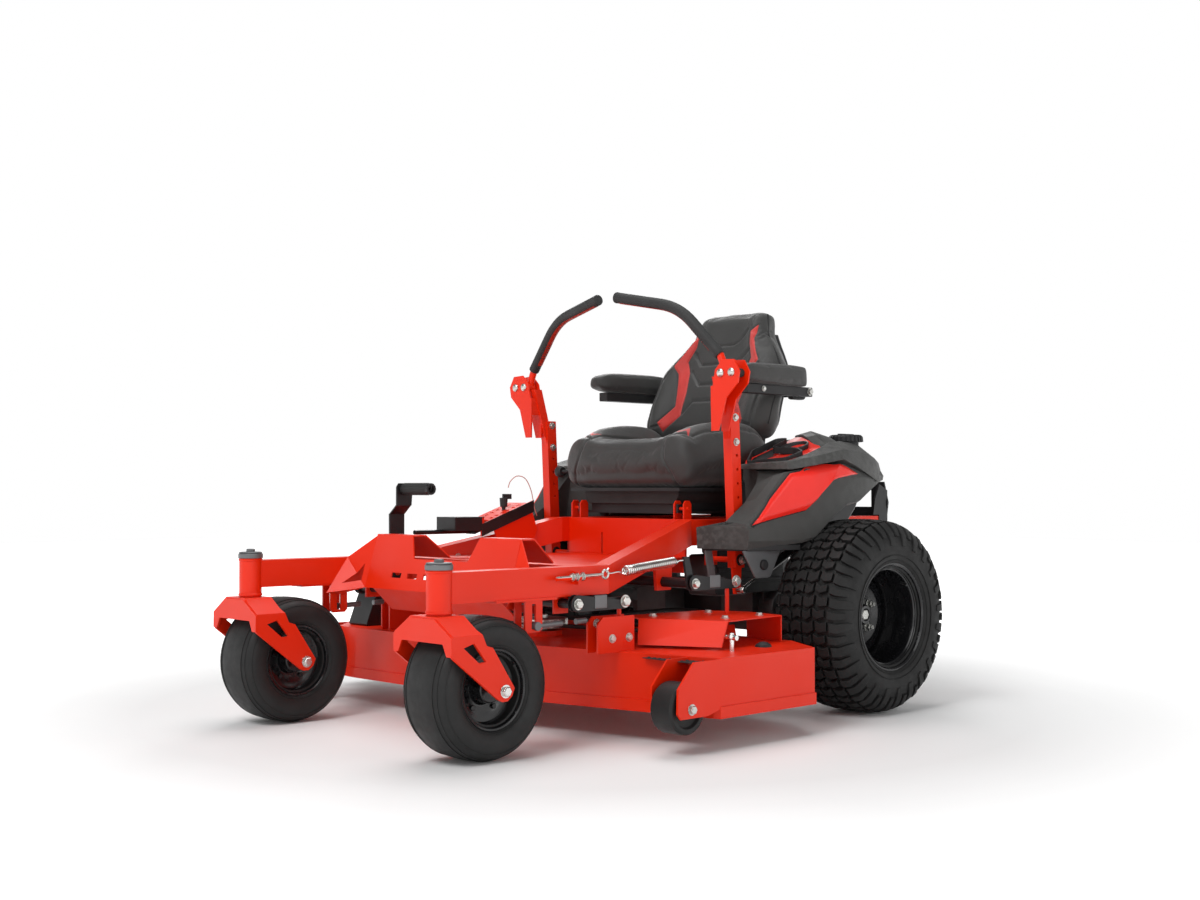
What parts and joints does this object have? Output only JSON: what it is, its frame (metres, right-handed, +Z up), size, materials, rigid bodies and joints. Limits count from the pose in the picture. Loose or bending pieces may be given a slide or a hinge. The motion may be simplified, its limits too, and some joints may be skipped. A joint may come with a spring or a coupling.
{
  "type": "zero turn mower",
  "caption": "Ride-on zero turn mower: wide side-discharge deck under a box-tube frame, front casters, large rear drive wheels, suspended seat and two swing-out lap bars.",
  "frame": {"origin": "on the ground, at the middle of the whole outline seen from above", "axes": "+Z up, +Y to the rear of the mower (it faces -Y), +X to the operator's left"},
  "size_m": [1.714, 2.0116, 1.2299],
  "materials": {
    "red_paint": "gloss",
    "black_paint": "satin",
    "rim_paint": "gloss",
    "fender_plastic": "matte",
    "black_plastic": "satin",
    "seat_plastic": "matte",
    "seat_vinyl": "satin",
    "tyre_rubber": "matte",
    "grip_rubber": "matte",
    "chute_rubber": "matte",
    "zinc_steel": "satin",
    "engine_metal": "matte",
    "red_coated_wire": "gloss"
  },
  "bodies": {
    "chassis": {"frame_left": "red_paint", "frame_right": "red_paint", "front_panel": "red_paint", "floor_pan": "red_paint", "seat_pedestal": "red_paint", "rear_frame": "black_paint", "fender_left": "fender_plastic", "fender_right": "fender_plastic", "console_tray": "fender_plastic", "control_panel": "fender_plastic", "engine": "engine_metal", "transaxle_left": "engine_metal", "transaxle_right": "engine_metal", "height_plate": "red_paint", "lanyard_wire": "red_coated_wire", "damper_tube_left": "black_paint", "damper_tube_right": "black_paint"},
    "caster_left": {"caster_fork_left": "red_paint"},
    "caster_wheel_left": {"caster_tyre_left": "tyre_rubber", "caster_rim_left": "rim_paint"},
    "caster_right": {"caster_fork_right": "red_paint"},
    "caster_wheel_right": {"caster_tyre_right": "tyre_rubber", "caster_rim_right": "rim_paint"},
    "rear_wheel_left": {"rear_tyre_left": "tyre_rubber", "rear_rim_left": "rim_paint"},
    "rear_wheel_right": {"rear_tyre_right": "tyre_rubber", "rear_rim_right": "rim_paint"},
    "lap_bar_left": {"lever_post_left": "red_paint"},
    "lap_bar_top_left": {"lever_arm_left": "red_paint", "lever_grip_left": "grip_rubber"},
    "damper_piston_left": {"damper_rod_left": "zinc_steel"},
    "lap_bar_right": {"lever_post_right": "red_paint"},
    "lap_bar_top_right": {"lever_arm_right": "red_paint", "lever_grip_right": "grip_rubber"},
    "damper_piston_right": {"damper_rod_right": "zinc_steel"},
    "seat": {"seat_base": "seat_plastic", "seat_cushion": "seat_vinyl", "seat_back": "seat_vinyl"},
    "armrest_body_left": {"armrest_left": "seat_vinyl"},
    "armrest_body_right": {"armrest_right": "seat_vinyl"},
    "deck": {"deck_shell": "red_paint", "belt_cover_left": "red_paint", "belt_cover_right": "red_paint"},
    "blade_centre": {"spindle_centre": "zinc_steel"},
    "blade_left": {"spindle_left": "zinc_steel"},
    "blade_right": {"spindle_right": "zinc_steel"},
    "chute": {"discharge_chute": "chute_rubber"},
    "anti_scalp_left": {"anti_scalp_wheel_left": "grip_rubber"},
    "anti_scalp_right": {"anti_scalp_wheel_right": "grip_rubber"},
    "lift_front": {"lift_linkage_front": "black_paint"},
    "lift_rear": {"lift_linkage_rear": "black_paint"},
    "assist_spring_left": {"lift_spring_left": "zinc_steel"},
    "assist_spring_right": {"lift_spring_right": "zinc_steel"},
    "pedal": {"foot_pedal": "black_paint"},
    "height_link": {"height_slider": "black_paint"},
    "stop_pin": {"height_pin": "black_plastic"},
    "key": {"ignition_key": "zinc_steel"},
    "throttle": {"throttle_lever": "black_plastic"},
    "blade_switch": {"clutch_knob": "black_plastic"},
    "cap": {"fuel_cap": "black_plastic"}
  },
  "joints": [
    {"name": "caster_swivel_left", "type": "hinge", "parent": "chassis", "child": "caster_left", "pos_m": [0.5136, -0.9442, 0.4], "axis": [0, 0, 1], "continuous": true},
    {"name": "caster_roll_left", "type": "hinge", "parent": "caster_left", "child": "caster_wheel_left", "pos_m": [0.5136, -0.8338, 0.172], "axis": [1, 0, 0], "continuous": true},
    {"name": "caster_swivel_right", "type": "hinge", "parent": "chassis", "child": "caster_right", "pos_m": [-0.3276, -0.9442, 0.4], "axis": [0, 0, 1], "continuous": true},
    {"name": "caster_roll_right", "type": "hinge", "parent": "caster_right", "child": "caster_wheel_right", "pos_m": [-0.3276, -0.8338, 0.172], "axis": [1, 0, 0], "continuous": true},
    {"name": "rear_wheel_spin_left", "type": "hinge", "parent": "chassis", "child": "rear_wheel_left", "pos_m": [0.676, 0.4748, 0.279], "axis": [1, 0, 0], "continuous": true},
    {"name": "rear_wheel_spin_right", "type": "hinge", "parent": "chassis", "child": "rear_wheel_right", "pos_m": [-0.49, 0.4748, 0.279], "axis": [1, 0, 0], "continuous": true},
    {"name": "lap_bar_drive_left", "type": "hinge", "parent": "chassis", "child": "lap_bar_left", "pos_m": [0.483, 0.1458, 0.442], "axis": [1, 0, 0], "range_deg": [-12, 12]},
    {"name": "lap_bar_swing_left", "type": "hinge", "parent": "lap_bar_left", "child": "lap_bar_top_left", "pos_m": [0.514, 0.0698, 0.97], "axis": [0, 1, 0], "range_deg": [0, 70]},
    {"name": "damper_stroke_left", "type": "slide", "parent": "chassis", "child": "damper_piston_left", "axis": [0, 0.9093, 0.4162], "range_m": [-0.017, 0.017]},
    {"name": "lap_bar_drive_right", "type": "hinge", "parent": "chassis", "child": "lap_bar_right", "pos_m": [-0.297, 0.1458, 0.442], "axis": [1, 0, 0], "range_deg": [-12, 12]},
    {"name": "lap_bar_swing_right", "type": "hinge", "parent": "lap_bar_right", "child": "lap_bar_top_right", "pos_m": [-0.328, 0.0698, 0.97], "axis": [0, -1, 0], "range_deg": [0, 70]},
    {"name": "damper_stroke_right", "type": "slide", "parent": "chassis", "child": "damper_piston_right", "axis": [0, 0.9093, 0.4162], "range_m": [-0.017, 0.017]},
    {"name": "seat_tilt", "type": "hinge", "parent": "chassis", "child": "seat", "pos_m": [0.093, 0.1038, 0.587], "axis": [1, 0, 0], "range_deg": [0, 15]},
    {"name": "armrest_fold_left", "type": "hinge", "parent": "seat", "child": "armrest_body_left", "pos_m": [0.363, 0.5768, 0.947], "axis": [-1, 0, 0], "range_deg": [0, 95]},
    {"name": "armrest_fold_right", "type": "hinge", "parent": "seat", "child": "armrest_body_right", "pos_m": [-0.177, 0.5768, 0.947], "axis": [-1, 0, 0], "range_deg": [0, 95]},
    {"name": "deck_lift", "type": "slide", "parent": "chassis", "child": "deck", "axis": [0, 0, 1], "range_m": [-0.045, 0.05]},
    {"name": "blade_spin_centre", "type": "hinge", "parent": "deck", "child": "blade_centre", "pos_m": [0.093, -0.2442, 0.26], "axis": [0, 0, 1], "continuous": true},
    {"name": "blade_spin_left", "type": "hinge", "parent": "deck", "child": "blade_left", "pos_m": [0.578, -0.1262, 0.26], "axis": [0, 0, 1], "continuous": true},
    {"name": "blade_spin_right", "type": "hinge", "parent": "deck", "child": "blade_right", "pos_m": [-0.392, -0.1262, 0.26], "axis": [0, 0, 1], "continuous": true},
    {"name": "chute_fold", "type": "hinge", "parent": "deck", "child": "chute", "pos_m": [-0.678, -0.2062, 0.222], "axis": [0, 1, 0], "range_deg": [0, 85]},
    {"name": "anti_scalp_roll_left", "type": "hinge", "parent": "deck", "child": "anti_scalp_left", "pos_m": [0.804, -0.4392, 0.113], "axis": [1, 0, 0], "continuous": true},
    {"name": "anti_scalp_roll_right", "type": "hinge", "parent": "deck", "child": "anti_scalp_right", "pos_m": [-0.618, -0.5392, 0.113], "axis": [1, 0, 0], "continuous": true},
    {"name": "lift_front_turn", "type": "hinge", "parent": "chassis", "child": "lift_front", "pos_m": [0.093, -0.5482, 0.356], "axis": [1, 0, 0], "range_deg": [-16, 17.6]},
    {"name": "lift_rear_turn", "type": "hinge", "parent": "chassis", "child": "lift_rear", "pos_m": [0.093, -0.1162, 0.389], "axis": [1, 0, 0], "range_deg": [-16, 17.6]},
    {"name": "assist_spring_travel_left", "type": "slide", "parent": "chassis", "child": "assist_spring_left", "axis": [0, -1, 0], "range_m": [-0.0175, 0.0195]},
    {"name": "assist_spring_travel_right", "type": "slide", "parent": "chassis", "child": "assist_spring_right", "axis": [0, -1, 0], "range_m": [-0.0175, 0.0195]},
    {"name": "pedal_turn", "type": "hinge", "parent": "chassis", "child": "pedal", "pos_m": [-0.277, -0.4892, 0.4], "axis": [1, 0, 0], "range_deg": [-23.4, 26]},
    {"name": "height_link_travel", "type": "slide", "parent": "chassis", "child": "height_link", "axis": [0, -0.9455, -0.3256], "range_m": [-0.048, 0.053]},
    {"name": "stop_pin_pull", "type": "slide", "parent": "chassis", "child": "stop_pin", "axis": [0, 0, 1], "range_m": [0, 0.014]},
    {"name": "key_turn", "type": "hinge", "parent": "chassis", "child": "key", "pos_m": [-0.247, 0.3458, 0.7455], "axis": [0, 0, 1], "range_deg": [0, 90]},
    {"name": "throttle_turn", "type": "hinge", "parent": "chassis", "child": "throttle", "pos_m": [-0.317, 0.3958, 0.737], "axis": [1, 0, 0], "range_deg": [-30, 30]},
    {"name": "blade_switch_pull", "type": "slide", "parent": "chassis", "child": "blade_switch", "axis": [0, 0, 1], "range_m": [0, 0.015]},
    {"name": "cap_turn", "type": "hinge", "parent": "chassis", "child": "cap", "pos_m": [0.463, 0.6888, 0.79], "axis": [0, 0, 1], "range_deg": [0, 120]}
  ],
  "couplings": [
    {"joint": "damper_stroke_left", "follows": "lap_bar_drive_left", "m_per_rad": 0.077},
    {"joint": "damper_stroke_right", "follows": "lap_bar_drive_right", "m_per_rad": 0.077},
    {"joint": "blade_spin_left", "follows": "blade_spin_centre", "ratio": 1},
    {"joint": "blade_spin_right", "follows": "blade_spin_centre", "ratio": 1},
    {"joint": "lift_front_turn", "follows": "deck_lift", "rad_per_m": 6.06},
    {"joint": "lift_rear_turn", "follows": "deck_lift", "rad_per_m": 6.06},
    {"joint": "assist_spring_travel_left", "follows": "deck_lift", "ratio": 0.38},
    {"joint": "assist_spring_travel_right", "follows": "deck_lift", "ratio": 0.38},
    {"joint": "pedal_turn", "follows": "deck_lift", "rad_per_m": 9},
    {"joint": "height_link_travel", "follows": "deck_lift", "ratio": 1.05}
  ]
}
